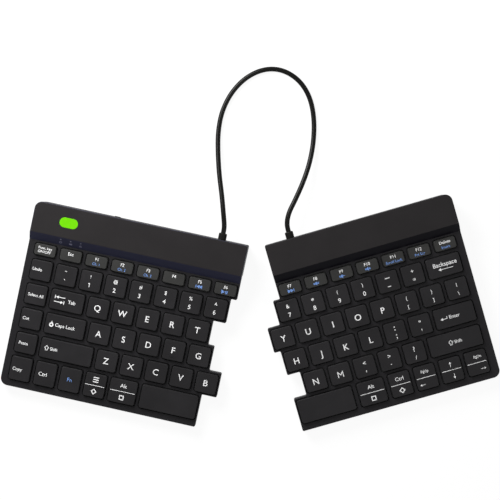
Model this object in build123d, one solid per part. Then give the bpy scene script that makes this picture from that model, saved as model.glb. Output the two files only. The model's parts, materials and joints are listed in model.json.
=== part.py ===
from build123d import *
import os
from dataclasses import dataclass
from math import cos, radians, sin, tan

os.makedirs("parts", exist_ok=True)

# Split keyboard: two wedge-shaped halves, each with a stepped field of low keys and a raised bar behind it,
# and the cable that links them. Millimetres, +Z up, the feet stand on Z = 0.
# Each half is drawn in its own deck frame: u to the right, v to the rear, w along the deck's normal, with
# its origin at the key-top centre of the number row's first key. Then it is tilted, turned and set down.

# Key field
key_pitch = 19.05
row_pitch = 18.6
key_gap = 2.85
cap_depth = 15.2
bottom_row_drop = 19.6
bottom_cap_depth = 18.1
function_row_rise = 15.3
function_cap_width = 16.6
function_cap_depth = 8.9
left_function_pitch = 19.65
right_function_pitch = 19.74
right_function_start = 5.64
window_gap = 0.6

# Key caps, which are hollow and sit on a stem
key_travel = 2.0
key_rise = 2.0
cap_height = 3.2
cap_corner = 1.8
cap_wall = 1.0
cap_top = 1.2
cap_edge = 0.45
cap_taper = 5.0
stem_radius = 1.5
small_stem_radius = 0.9
bump_length = 3.4
bump_width = 0.6
bump_height = 0.25

# Housing, from its edges and its surfaces
outer_border = 5.4
inner_border = 1.35
band_gap = 1.85
band_run = 5.9
bar_depth = 23.1
bar_rise = 5.0
slab_height = 7.0
skirt_height = 4.0
foot_height = 1.2
tilt = 3.0
corner_radius = 5.5
step_radius = 1.0
edge_bevel = 0.5
crest_radius = 0.7
wall = 1.2
deck_thickness = 1.6
cover_thickness = 2.0
base_floor = 1.4
ledge = 2.4

# Under the keys
support_thickness = 0.5
membrane_thickness = 0.3
layer_gap = 0.4
tail_width = 20.0
tail_length = 5.0
dome_radius = 3.0
small_dome_radius = 1.7
dome_wall = 0.4
dome_gap = 0.1
scissor_length = 11.0
scissor_width = 11.2
small_scissor_width = 6.6
scissor_arm = 0.8
scissor_gap = 0.3
wide_cap_width = 35.0

# Screws and what they hold
screw_radius = 0.9
screw_length = 4.2
screw_head_radius = 1.8
screw_head_height = 1.0
screw_recess = 0.5
screw_slack = 0.1
thread_slack = 0.02
seat_height = 0.8
seat_radius = 2.4
post_radius = 1.7
post_inset = 3.0
post_bite = 0.5

# Feet
foot_length = 22.0
foot_width = 8.0
foot_inset = 7.0

# Electronics in the bars
board_thickness = 1.0
board_depth = 17.0
board_length = 60.0
link_board_length = 26.0
board_gap = 0.6
standoff_radius = 1.6
standoff_inset = 3.0
chip_size = 9.0
chip_height = 1.2
lamp_size = 3.0
battery_length = 46.0
battery_depth = 17.0
battery_height = 6.0
socket_width = 9.0
socket_height = 3.2
socket_depth = 7.4
socket_shell = 0.35
socket_back = 1.0
tongue_width = 6.7
tongue_height = 0.7
tongue_depth = 4.6
mouth_recess = 0.4
mouth_gap = 0.15
knob_length = 4.0
knob_height = 1.6
knob_reach = 0.8
knob_travel = 2.0
switch_length = 8.0
switch_depth = 3.5
switch_height = 3.4
slide_gap = 0.1

# Light windows
lens_length = 13.8
lens_width = 7.4
lens_proud = 0.15
lens_flange = 1.0
flange_thickness = 0.8
lens_gap = 0.05
lens_inset = 27.4
status_radius = 0.55
status_count = 3
status_pitch = 7.65
status_inset = 23.8
status_run_share = 0.73

# Link cable and its glands
cable_diameter = 3.7
gland_radius = 3.1
gland_tip_radius = 2.7
gland_collar = 4.4
gland_reach = 5.0
gland_flange_radius = 4.2
gland_flange = 1.5
left_gland_inset = 20.4
right_gland_inset = 19.9
cable_exit = 3.0

# Where the halves stand: the origins of their deck frames, and their turn in degrees
half_spread = 184.3
half_stagger = 29.3
left_turn = -12.25
right_turn = 15.91

overrun = 1.0

# The cable between the exits of its two glands, as it lies on the desk
cable_route = [
    (-17.8, 65.9, 12.1),
    (-18.5, 74.0, 12.0),
    (-19.7, 87.0, 9.8),
    (-22.0, 103.5, 6.6),
    (-23.1, 120.5, 4.0),
    (-23.1, 136.0, 2.3),
    (-20.2, 151.3, 1.9),
    (-13.0, 165.5, 1.9),
    (-2.0, 176.8, 1.9),
    (11.8, 183.0, 1.9),
    (25.5, 182.2, 1.9),
    (37.7, 174.6, 1.9),
    (45.7, 162.3, 1.9),
    (49.1, 146.5, 1.9),
    (48.8, 128.5, 2.7),
    (45.7, 111.5, 5.0),
    (40.6, 96.5, 7.9),
    (34.2, 82.3, 10.8),
    (30.8, 75.7, 11.9),
    (29.1, 69.9, 12.2),
    (28.8, 65.9, 12.1),
]


@dataclass(frozen=True)
class Bank:
    """Caps of one width that move together, placed in key pitches from the number row's first key."""

    node: str
    width_share: float
    centre_shares: tuple


@dataclass(frozen=True)
class Row:
    """One row of keys across a half."""

    centre: float
    depth: float
    pitch: float
    gap: float
    start: float
    banks: tuple

    def caps(self, bank):
        """Centre and width of each cap of a bank."""
        width = bank.width_share * self.pitch - self.gap
        return [(self.start + share * self.pitch, width) for share in bank.centre_shares]

    def span(self):
        """Lowest and highest u that the caps of the row reach."""
        caps = [cap for bank in self.banks for cap in self.caps(bank)]
        return min(u - width / 2 for u, width in caps), max(u + width / 2 for u, width in caps)

    @property
    def rear(self):
        return self.centre + self.depth / 2

    @property
    def front(self):
        return self.centre - self.depth / 2


@dataclass(frozen=True)
class Half:
    """One half: inward is 1 where its stepped side lies at high u, and -1 where it lies at low u."""

    name: str
    inward: int
    rows: tuple
    gland_inset: float
    place: tuple
    turn: float

    @property
    def outer(self):
        """u of the straight outer side."""
        if self.inward > 0:
            return min(row.span()[0] for row in self.rows) - outer_border
        return max(row.span()[1] for row in self.rows) + outer_border

    def inner(self, row):
        """u of the stepped side beside one row."""
        return row.span()[1] + inner_border if self.inward > 0 else row.span()[0] - inner_border

    def from_outer(self, distance):
        """u at a distance in from the outer side."""
        return self.outer + self.inward * distance

    def from_inner(self, distance):
        """u at a distance in from the bar's inner end."""
        return self.inner(self.rows[0]) - self.inward * distance

    @property
    def location(self):
        return Pos(*self.place) * Rot(0, 0, self.turn) * Rot(tilt, 0, 0)


def single(node, centre_share, width_share=1):
    """Bank of one cap."""
    return Bank(node, width_share, (centre_share,))


def run(node, first_share, count):
    """Bank of standard caps in a row, one pitch apart."""
    return Bank(node, 1, tuple(first_share + step for step in range(count)))


def make_rows(banks, function_pitch, function_start):
    """Rows of a half from the rear to the front: function, four standard and the bottom row."""
    function, *standard, bottom = banks
    gap = function_pitch - function_cap_width
    rows = [Row(function_row_rise, function_cap_depth, function_pitch, gap, function_start, function)]
    for index, row_banks in enumerate(standard):
        rows.append(Row(-index * row_pitch, cap_depth, key_pitch, key_gap, 0, row_banks))
    low = rows[-1].centre - bottom_row_drop
    rows.append(Row(low, bottom_cap_depth, key_pitch, key_gap, 0, bottom))
    return tuple(rows)


left_banks = (
    (run("left_function_keys", 0, 8),),
    (single("undo_key", 0), run("left_number_keys", 1, 7)),
    (single("select_all_key", 0), single("tab_key", 1.25, 1.5), run("qwert_keys", 2.5, 5)),
    (single("cut_key", 0), single("caps_lock_key", 1.375, 1.75), run("asdfg_keys", 2.75, 5)),
    (single("paste_key", 0), single("left_shift_key", 1.625, 2.25), run("zxcvb_keys", 3.25, 5)),
    (
        single("copy_key", 0),
        single("left_ctrl_key", 1),
        single("fn_key", 2),
        single("menu_key", 3),
        single("left_alt_key", 4.115, 1.25),
        single("left_space_key", 5.953, 2.415),
    ),
)
right_banks = (
    (run("right_function_keys", 0, 7),),
    (run("right_number_keys", 0, 6), single("backspace_key", 6.25, 1.5)),
    (run("yuiop_keys", -0.5, 8),),
    (run("hjkl_keys", -0.25, 6), single("enter_key", 6.125, 1.75)),
    (run("nm_keys", 0.25, 5), single("right_shift_key", 5.875, 2.25)),
    (
        single("right_space_key", 0.412, 2.36),
        single("right_alt_key", 2.247, 1.226),
        single("right_ctrl_key", 3.391),
        single("left_arrow_key", 4.409),
        single("up_down_key", 5.433),
        single("right_arrow_key", 6.451),
    ),
)
left_rows = make_rows(left_banks, left_function_pitch, 0)
right_rows = make_rows(right_banks, right_function_pitch, right_function_start)

# Caps with a raised bar for the index fingers: node and position in its bank
bump_caps = {("asdfg_keys", 3), ("hjkl_keys", 1)}

# Levels along v, shared by both halves
front_edge = left_rows[-1].front - outer_border
band_foot = left_rows[0].rear + band_gap
band_crest = band_foot + band_run
rear_edge = band_crest + bar_depth
deck_rear = band_foot + ledge

# Levels along w
deck_top = -key_rise
bar_top = deck_top + bar_rise
parting = deck_top - skirt_height
slab_under = deck_top - slab_height
floor_top = slab_under + base_floor
support_top = floor_top + support_thickness
membrane_top = support_top + membrane_thickness
cap_under = -cap_top
skirt_end = -cap_height
cover_under = bar_top - cover_thickness
board_top = parting + board_thickness
stem_end = -(key_travel + cap_height - cap_top) - dome_gap
home_height = foot_height - slab_under * cos(radians(tilt)) - front_edge * sin(radians(tilt))


def desk_level(v, height):
    """w of the plane at a height above the desk, at one v."""
    return (height - home_height - v * sin(radians(tilt))) / cos(radians(tilt))


left_place = (-half_spread / 2, half_stagger / 2, home_height)
left = Half("left", 1, left_rows, left_gland_inset, left_place, left_turn)
right_place = (half_spread / 2, -half_stagger / 2, home_height)
right = Half("right", -1, right_rows, right_gland_inset, right_place, right_turn)


def raised(face, low, high):
    """A face extruded from one w level to another."""
    return Pos(0, 0, low) * extrude(face, amount=high - low, dir=(0, 0, 1))


def rod(radius, u, w, low, high):
    """Cylinder along v."""
    return Pos(u, (low + high) / 2, w) * Rot(90, 0, 0) * Cylinder(radius, high - low)


def post(radius, u, v, low, high):
    """Cylinder along w."""
    return Pos(u, v, (low + high) / 2) * Cylinder(radius, high - low)


def block(low, high):
    """Box between two corners."""
    centre = [(a + b) / 2 for a, b in zip(low, high)]
    return Pos(*centre) * Box(*[b - a for a, b in zip(low, high)])


def outline(half, inset=0):
    """Plan of a half, stepped beside its rows, drawn in from its edge by inset."""
    points = [(half.outer, rear_edge)]
    level = rear_edge
    for row, below in zip(half.rows, half.rows[1:] + (None,)):
        low = (row.front + below.rear) / 2 if below else front_edge
        points += [(half.inner(row), level), (half.inner(row), low)]
        level = low
    points.append((half.outer, front_edge))
    face = Polygon(*points, align=None)
    if inset:
        face = offset(face, -inset, kind=Kind.INTERSECTION)
    outermost = 0 if half.inward > 0 else -1
    face = fillet(face.vertices().group_by(Axis.X)[outermost], corner_radius - inset)
    if not inset:
        reach = half.outer + half.inward * corner_radius
        inner_corners = [p for p in face.vertices() if (p.X - reach) * half.inward > corner_radius]
        face = fillet(inner_corners, step_radius)
    return face


def clip(face, low, high):
    """Part of a plan face between two v levels."""
    box = face.bounding_box()
    window = Pos(box.center().X, (low + high) / 2) * Rectangle(box.size.X + overrun, high - low)
    return face & window


def blank(half, profile, inset=0):
    """Solid with a (v, w) profile that runs along a half and stays inside its plan."""
    face = outline(half, inset)
    box = face.bounding_box()
    levels = [w for v, w in profile]
    sheet = Plane.YZ.offset(box.min.X - overrun) * Polygon(*profile, align=None)
    bar = extrude(sheet, amount=box.size.X + 2 * overrun, dir=(1, 0, 0))
    return raised(face, min(levels), max(levels)) & bar


def prism(profile, low, high):
    """Solid with a (v, w) profile between two u values."""
    sheet = Plane.YZ.offset(min(low, high)) * Polygon(*profile, align=None)
    return extrude(sheet, amount=abs(high - low), dir=(1, 0, 0))


def solids_of(shape):
    """The separate solids of a shape."""
    return list(shape.solids())


# Key caps
def key_cap(width, depth, small, bump):
    """Hollow cap with rounded corners, drawn-in sides and a stem, its top centre at the origin."""
    foot = Pos(0, 0, skirt_end) * RectangleRounded(width, depth, cap_corner)
    body = extrude(foot, amount=cap_height, taper=cap_taper)
    body = fillet(body.faces().sort_by(Axis.Z)[-1].edges(), cap_edge)
    inner = RectangleRounded(width - 2 * cap_wall, depth - 2 * cap_wall, cap_corner - cap_wall)
    body -= raised(inner, skirt_end, cap_under)
    body += post(small_stem_radius if small else stem_radius, 0, 0, stem_end, cap_under)
    if bump:
        corner = (bump_length / 2, bump_width / 2)
        v = -depth / 2 + cap_wall + bump_length / 2
        body += block((-corner[0], v - corner[1], cap_under), (corner[0], v + corner[1], bump_height))
    return body


def is_small(row):
    """Whether a row has the shallow caps of the function row."""
    return row.depth < cap_depth


def key_bank(row, bank):
    """All caps of a bank at their places."""
    caps = []
    for index, (u, width) in enumerate(row.caps(bank)):
        cap = key_cap(width, row.depth, is_small(row), (bank.node, index) in bump_caps)
        caps += solids_of(Pos(u, row.centre) * cap)
    return Compound(caps)


def key_places(half):
    """Row, centre and width of every cap of a half."""
    return [(row, u, width) for row in half.rows for bank in row.banks for u, width in row.caps(bank)]


# Screws, their seats in the base and the posts above them
def deck_screws(half):
    """Places of the screws that hold the deck frame: along the outer side and the front."""
    side = half.from_outer(post_inset)
    front = front_edge + post_inset
    inner = half.inner(half.rows[-1]) - half.inward * post_inset
    middle = (side + inner) / 2
    return [(side, row.centre) for row in (half.rows[1], half.rows[4])] + [(middle, front), (inner, front)]


def bar_screws(half):
    """Places of the screws that hold the bar cover: near its ends and its middle."""
    v = (band_crest + rear_edge) / 2
    inset = wall + board_gap + seat_radius
    ends = half.from_outer(inset), half.from_inner(inset)
    return [(ends[0], v), (sum(ends) / 2, v), (ends[1], v)]


def screw_levels(half):
    """Place, underside level and top of the post, for every screw of a half."""
    deck = [(u, v, slab_under, deck_top - deck_thickness) for u, v in deck_screws(half)]
    bar = [(u, v, desk_level(v, foot_height), cover_under) for u, v in bar_screws(half)]
    return deck, bar


def head_top(under):
    return under + screw_recess + screw_head_height


def seat_top(under):
    return head_top(under) + seat_height


def screws(half):
    """Flat-headed screws in the underside of a half."""
    deck, bar = screw_levels(half)
    made = []
    for u, v, under, _ in deck + bar:
        head = post(screw_head_radius, u, v, under + screw_recess, head_top(under))
        shank = post(screw_radius, u, v, head_top(under), head_top(under) + screw_length)
        made += solids_of(head + shank)
    return Compound(made)


def screw_posts(levels):
    """Hollow posts that stand over the screw seats."""
    made = Part()
    for u, v, under, top in levels:
        made += post(post_radius, u, v, seat_top(under), top + post_bite)
    return made


def pilot_holes(levels):
    """Holes for the screws' threads, as deep as the posts allow."""
    made = Part()
    for u, v, under, _ in levels:
        high = head_top(under) + screw_length + screw_slack
        made += post(screw_radius + thread_slack, u, v, seat_top(under) - overrun, high)
    return made


# Housing
def deck_frame(half):
    """Top shell of the key field: plate with a window for each cap, skirt and screw posts."""
    body = raised(outline(half), parting, deck_top)
    body = chamfer(body.faces().sort_by(Axis.Z)[-1].edges(), edge_bevel)
    body &= raised(clip(outline(half), front_edge - overrun, deck_rear), parting, deck_top)
    hollow = clip(outline(half, wall), front_edge, deck_rear)
    body -= raised(hollow, parting, deck_top - deck_thickness)
    deck, _ = screw_levels(half)
    body += screw_posts(deck)
    body -= pilot_holes(deck)
    windows = Sketch()
    for row, u, width in key_places(half):
        size = (width + 2 * window_gap, row.depth + 2 * window_gap)
        windows += Pos(u, row.centre) * RectangleRounded(*size, cap_corner + window_gap)
    return body - raised(windows, deck_top - deck_thickness - overrun, deck_top + overrun)


def band_inside(w):
    """v of the band's inner face at one level."""
    slope = band_run / bar_rise
    drawn_in = cover_thickness * (band_run**2 + bar_rise**2) ** 0.5 / bar_rise
    return band_foot + drawn_in + (w - deck_top) * slope


def bar_cover(half):
    """Upper shell of the bar, with the sloped band that rises from the deck."""
    outside = [
        (band_foot, deck_top),
        (band_crest, bar_top),
        (rear_edge, bar_top),
        (rear_edge, parting),
        (deck_rear, parting),
        (deck_rear, deck_top),
    ]
    body = blank(half, outside)
    body = fillet(body.faces().sort_by(Axis.Z)[-1].edges(), crest_radius)
    inside = [
        (band_inside(deck_top), parting),
        (band_inside(deck_top), deck_top),
        (band_inside(cover_under), cover_under),
        (rear_edge, cover_under),
        (rear_edge, parting),
    ]
    body -= blank(half, inside, wall)
    _, bar = screw_levels(half)
    body += screw_posts(bar)
    body -= pilot_holes(bar)
    return body - gland_hole(half)


def base(half):
    """Bottom shell: a shallow tray under the keys and a deeper trough under the bar."""
    outside = [
        (front_edge, parting),
        (front_edge, slab_under + edge_bevel),
        (front_edge + edge_bevel, slab_under),
        (band_crest, slab_under),
        (band_crest, desk_level(band_crest, foot_height)),
        (rear_edge - edge_bevel, desk_level(rear_edge - edge_bevel, foot_height)),
        (rear_edge, desk_level(rear_edge, foot_height) + edge_bevel),
        (rear_edge, parting),
    ]
    trough = band_crest + wall
    inside = [
        (front_edge, parting),
        (front_edge, floor_top),
        (trough, floor_top),
        (trough, desk_level(trough, foot_height + base_floor)),
        (rear_edge, desk_level(rear_edge, foot_height + base_floor)),
        (rear_edge, parting),
    ]
    body = blank(half, outside) - blank(half, inside, wall)
    deck, bar = screw_levels(half)
    for u, v, under, _ in deck + bar:
        body += post(seat_radius, u, v, under + base_floor / 2, seat_top(under))
        body -= post(screw_head_radius + screw_slack, u, v, under - overrun, head_top(under))
        body -= post(screw_radius + screw_slack, u, v, under, seat_top(under) + overrun)
    low, high = board_span(half)
    for u in (low + standoff_inset, high - standoff_inset):
        for v in (board_rear() - standoff_inset, board_rear() - board_depth + standoff_inset):
            body += post(standoff_radius, u, v, desk_level(v, foot_height + base_floor / 2), parting)
    return body - gland_hole(half)


def feet(half):
    """Four rubber feet: two under the front of the slab and two under the bar."""
    rear_low = rear_edge - foot_inset - foot_width
    front_low = front_edge + foot_inset
    made = []
    for low, row in ((front_low, half.rows[-1]), (rear_low, half.rows[0])):
        high = low + foot_width
        if row is half.rows[0]:
            tops = [desk_level(v, foot_height) for v in (high, low)]
        else:
            tops = [slab_under, slab_under]
        profile = [(low, desk_level(low, 0)), (high, desk_level(high, 0)), (high, tops[0]), (low, tops[1])]
        ends = (half.from_outer(2 * foot_inset), half.inner(row) - half.inward * 2 * foot_inset)
        for u, way in ((ends[0], half.inward), (ends[1], -half.inward)):
            made += solids_of(prism(profile, u, u + way * foot_length))
    return Compound(made)


# Layers under the keys
def layer_plan(half, extra=0):
    """Plan of the sheets under the keys: clear of the walls, the posts and the trough."""
    border = post_inset + seat_radius + layer_gap + extra
    face = offset(outline(half, wall), -(layer_gap + extra), kind=Kind.INTERSECTION)
    face = clip(face, front_edge + border, band_crest - extra)
    box = face.bounding_box()
    edge = half.from_outer(border)
    far = box.max.X if half.inward > 0 else box.min.X
    window = Rectangle(abs(far - edge) + overrun, box.size.Y + overrun)
    centre = (far + half.inward * overrun + edge) / 2
    return face & Pos(centre, box.center().Y) * window


def support_plate(half):
    return raised(layer_plan(half), floor_top, support_top)


def membrane(half):
    """Contact sheet, with a tail that runs to the board in the bar."""
    face = layer_plan(half, layer_gap)
    low, high = board_span(half)
    middle = (low + high) / 2
    reach = band_crest + tail_length
    near_corner = (middle - tail_width / 2, band_foot, support_top)
    tail = block(near_corner, (middle + tail_width / 2, reach, membrane_top))
    return raised(face, support_top, membrane_top) + tail


def dome(small):
    """Hollow rubber dome that returns one key."""
    radius = small_dome_radius if small else dome_radius
    tip = small_stem_radius if small else stem_radius
    height = stem_end - dome_gap - membrane_top
    standing = (Align.CENTER, Align.CENTER, Align.MIN)
    outside = Cone(radius, tip, height, align=standing)
    inside = Cone(radius - dome_wall, tip - dome_wall, height - dome_wall, align=standing)
    return Pos(0, 0, membrane_top) * (outside - inside)


def domes(half):
    made = []
    for row, u, _ in key_places(half):
        made += solids_of(Pos(u, row.centre) * dome(is_small(row)))
    return Compound(made)


def scissor(width):
    """Two crossed frames that keep a cap level: the narrow one swings inside the wide one."""
    low = membrane_top + dome_gap
    rise = cap_under - dome_gap - low
    lean = Vector(scissor_length, 0, 0).get_angle(Vector(scissor_length, 0, rise - scissor_arm))
    made = []
    for outer, side in ((width, 1), (width - 2 * (scissor_arm + scissor_gap), -1)):
        frame = Box(outer, scissor_length, scissor_arm)
        frame -= Box(outer - 2 * scissor_arm, scissor_length - 2 * scissor_arm, scissor_arm + overrun)
        made += solids_of(Pos(0, 0, low + rise / 2) * Rot(side * lean, 0, 0) * frame)
    return Compound(made)


def scissors(half):
    """Scissor links of every cap: two pairs under a wide cap, and turned a quarter under a small one."""
    made = []
    for row, u, width in key_places(half):
        if is_small(row):
            made += solids_of(Pos(u, row.centre) * Rot(0, 0, 90) * scissor(small_scissor_width))
            continue
        shifts = (-width / 4, width / 4) if width > wide_cap_width else (0,)
        for shift in shifts:
            made += solids_of(Pos(u + shift, row.centre) * scissor(scissor_width))
    return Compound(made)


# Electronics
def board_rear():
    """v of the rear edge of the boards."""
    return rear_edge - wall - board_gap


def board_span(half):
    """u of the two ends of a half's board, low end first."""
    screw_u = [u for u, v in bar_screws(half)]
    if half.inward > 0:
        low = screw_u[0] + seat_radius + board_gap
        return low, low + board_length
    low = gland_place(half) + gland_flange_radius + board_gap
    return low, low + link_board_length


def board(half):
    """Circuit board with a chip on it."""
    low, high = board_span(half)
    front = board_rear() - board_depth
    body = block((low, front, parting), (high, board_rear(), board_top))
    chip = ((low + high - chip_size) / 2, front + board_gap, parting)
    return body + block(chip, (chip[0] + chip_size, chip[1] + chip_size, board_top + chip_height))


def lens_place():
    """Centre of the light window in the left bar."""
    return left.from_outer(lens_inset), (band_crest + rear_edge) / 2 - lens_gap


def knob_place():
    """u of the low end of the power switch's knob at rest."""
    return board_span(left)[1] - switch_length


def circuit_board():
    """Main board of the left half, with the lamp under the light window and the power switch's body."""
    u, v = lens_place()
    reach = lamp_size / 2
    lamp = block((u - reach, v - reach, parting), (u + reach, v + reach, board_top + reach))
    rear = board_rear()
    low = knob_place() - (switch_length - knob_length) / 2
    body = block((low, rear - switch_depth, parting), (low + switch_length, rear, board_top + switch_height))
    return board(left) + lamp + body


def knob_level():
    """w of the middle of the power switch's knob."""
    return board_top + switch_height / 2


def power_switch():
    """Slide knob that reaches out through the rear of the bar."""
    low = knob_place()
    half_height = knob_height / 2
    return block(
        (low, board_rear() + slide_gap, knob_level() - half_height),
        (low + knob_length, rear_edge + knob_reach, knob_level() + half_height),
    )


def knob_slot():
    """Slot in the bar's rear wall for the knob and its travel."""
    low = knob_place() - 2 * slide_gap
    half_height = knob_height / 2 + slide_gap
    return block(
        (low, rear_edge - 2 * wall, knob_level() - half_height),
        (low + knob_length + knob_travel + 4 * slide_gap, rear_edge + overrun, knob_level() + half_height),
    )


def socket_place():
    """u of the middle of the charging socket."""
    low, high = board_span(left)
    return (low + high) / 2


def socket_blank(grow, rear, front):
    """Rounded flat box of the charging socket, grown all round."""
    width = socket_width + 2 * grow
    height = socket_height + 2 * grow
    face = RectangleRounded(width, height, height / 2 - slide_gap / 2)
    middle = board_top + socket_height / 2
    place = Plane(origin=(socket_place(), rear, middle), x_dir=(1, 0, 0), z_dir=(0, -1, 0))
    return extrude(place * face, amount=rear - front)


def charging_socket():
    """Metal shell of the charging socket with its tongue."""
    rear = rear_edge - mouth_recess
    front = rear - socket_depth
    body = socket_blank(0, rear, front) - socket_blank(-socket_shell, rear + overrun, front + socket_back)
    half_width, half_height = tongue_width / 2, tongue_height / 2
    middle = board_top + socket_height / 2
    low = front + socket_back / 2
    return body + block(
        (socket_place() - half_width, low, middle - half_height),
        (socket_place() + half_width, low + tongue_depth, middle + half_height),
    )


def battery():
    """Flat cell on the floor of the left bar's trough."""
    screw_u = [u for u, v in bar_screws(left)]
    low = screw_u[1] + seat_radius + board_gap
    front = board_rear() - battery_depth
    floor = foot_height + base_floor
    top = floor + battery_height
    section = [(front, floor), (board_rear(), floor), (board_rear(), top), (front, top)]
    profile = [(v, desk_level(v, height)) for v, height in section]
    return prism(profile, low, low + battery_length)


# Light windows
def lens_solid(grow):
    """Stem and flange of the light window, grown all round for its hole."""
    u, v = lens_place()
    stem = Pos(u, v) * SlotOverall(lens_length + 2 * grow, lens_width + 2 * grow)
    return raised(stem, cover_under, bar_top + lens_proud)


def indicator_lens():
    u, v = lens_place()
    flange = Pos(u, v) * SlotOverall(lens_length + 2 * lens_flange, lens_width + 2 * lens_flange)
    return lens_solid(0) + raised(flange, cover_under - flange_thickness, cover_under)


def status_rods(grow, deeper):
    """Three light pipes square to the band."""
    slope = Vector(0, bar_rise, -band_run).normalized()
    v = band_foot + status_run_share * band_run
    w = deck_top + status_run_share * bar_rise
    made = []
    for index in range(status_count):
        u = left.from_outer(status_inset + index * status_pitch)
        start = Plane(origin=Vector(u, v, w) - slope * deeper, x_dir=(1, 0, 0), z_dir=slope)
        section = start * Circle(status_radius + grow)
        made += solids_of(extrude(section, amount=cover_thickness + 2 * deeper))
    return made


# Cable glands and the cable
def gland_place(half):
    """u of a half's cable gland."""
    return half.from_inner(half.gland_inset)


def gland_hole(half):
    """Hole for a gland, half in each shell's rear wall."""
    front = rear_edge - 2 * wall
    return rod(gland_radius + lens_gap, gland_place(half), parting, front, rear_edge + overrun)


def cable_gland(half):
    """Strain relief held between the shells by its inner flange."""
    u = gland_place(half)
    inner = rear_edge - wall
    body = rod(gland_flange_radius, u, parting, inner - gland_flange, inner)
    body += rod(gland_radius, u, parting, inner, rear_edge + gland_collar)
    cone = Cone(gland_radius, gland_tip_radius, gland_reach - gland_collar)
    middle = rear_edge + (gland_collar + gland_reach) / 2
    return body + Pos(u, middle, parting) * Rot(-90, 0, 0) * cone


def gland_exit(half, distance):
    """Point on a gland's axis at a distance behind its tip."""
    return (half.location * Pos(gland_place(half), rear_edge + gland_reach + distance, parting)).position


def tube(points):
    """Tube along straight runs and the tangent arcs that join them, each as large as its runs allow."""
    points = [Vector(point) for point in points]
    radii = []
    for before, point, after in zip(points, points[1:], points[2:]):
        turn = (point - before).get_angle(after - point)
        shorter = min((point - before).length, (after - point).length)
        radii.append(0.45 * shorter / tan(radians(turn) / 2))
    path = FilletPolyline(*points, radius=radii)
    start = Plane(origin=path @ 0, z_dir=path % 0)
    made = sweep(start * Circle(cable_diameter / 2), path=path)
    section = start * Circle(cable_diameter / 2)
    print("cable radii", [round(radius, 1) for radius in radii], "length", round(path.length, 2))
    even = section.area * path.length
    print("cable volume", round(made.volume, 2), "section times length", round(even, 2))
    return made


# Assembly
def build_half(half):
    """Every piece of one half in its deck frame."""
    side = half.name
    pieces = {
        f"{side}_deck_frame": deck_frame(half),
        f"{side}_bar_cover": bar_cover(half),
        f"{side}_base": base(half),
        f"{side}_feet": feet(half),
        f"{side}_screws": screws(half),
        f"{side}_support_plate": support_plate(half),
        f"{side}_membrane": membrane(half),
        f"{side}_domes": domes(half),
        f"{side}_scissor_links": scissors(half),
        f"{side}_cable_gland": cable_gland(half),
    }
    for row in half.rows:
        for bank in row.banks:
            pieces[bank.node] = key_bank(row, bank)
    return pieces


left_pieces = build_half(left)
left_pieces["left_bar_cover"] -= lens_solid(lens_gap) + knob_slot()
left_pieces["left_bar_cover"] -= socket_blank(mouth_gap, rear_edge + overrun, rear_edge - 2 * wall)
for hole in status_rods(lens_gap, overrun):
    left_pieces["left_bar_cover"] -= hole
left_pieces["circuit_board"] = circuit_board()
left_pieces["charging_socket"] = charging_socket()
left_pieces["power_switch"] = power_switch()
left_pieces["battery"] = battery()
left_pieces["indicator_lens"] = indicator_lens()
left_pieces["status_lights"] = Compound(status_rods(0, 0))
right_pieces = build_half(right)
right_pieces["link_board"] = board(right)

placed = {name: left.location * shape for name, shape in left_pieces.items()}
placed.update({name: right.location * shape for name, shape in right_pieces.items()})

# The origin goes to the middle of the footprint, on the desk
box = Compound([solid for shape in placed.values() for solid in shape.solids()]).bounding_box()
shift = Vector(-box.center().X, -box.center().Y, -box.min.Z)
placed = {name: Pos(*shift) * shape for name, shape in placed.items()}

ends = [[gland_exit(half, distance) + shift for distance in (0, cable_exit)] for half in (left, right)]
placed["link_cable"] = tube(ends[0] + cable_route + ends[1][::-1])

for name, shape in placed.items():
    export_step(shape, f"parts/{name}.step")

print("box", box.size, "shift", shift, "nodes", len(placed))
for half in (left, right):
    origin = (half.location).position + shift
    normal = Vector(0, 0, 1).rotate(Axis.X, tilt).rotate(Axis.Z, half.turn)
    print(half.name, "deck origin", origin, "normal", normal, "cable", gland_exit(half, 0) + shift)
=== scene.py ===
"""Looks of the split keyboard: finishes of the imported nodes, printed key legends and the link cable."""

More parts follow.
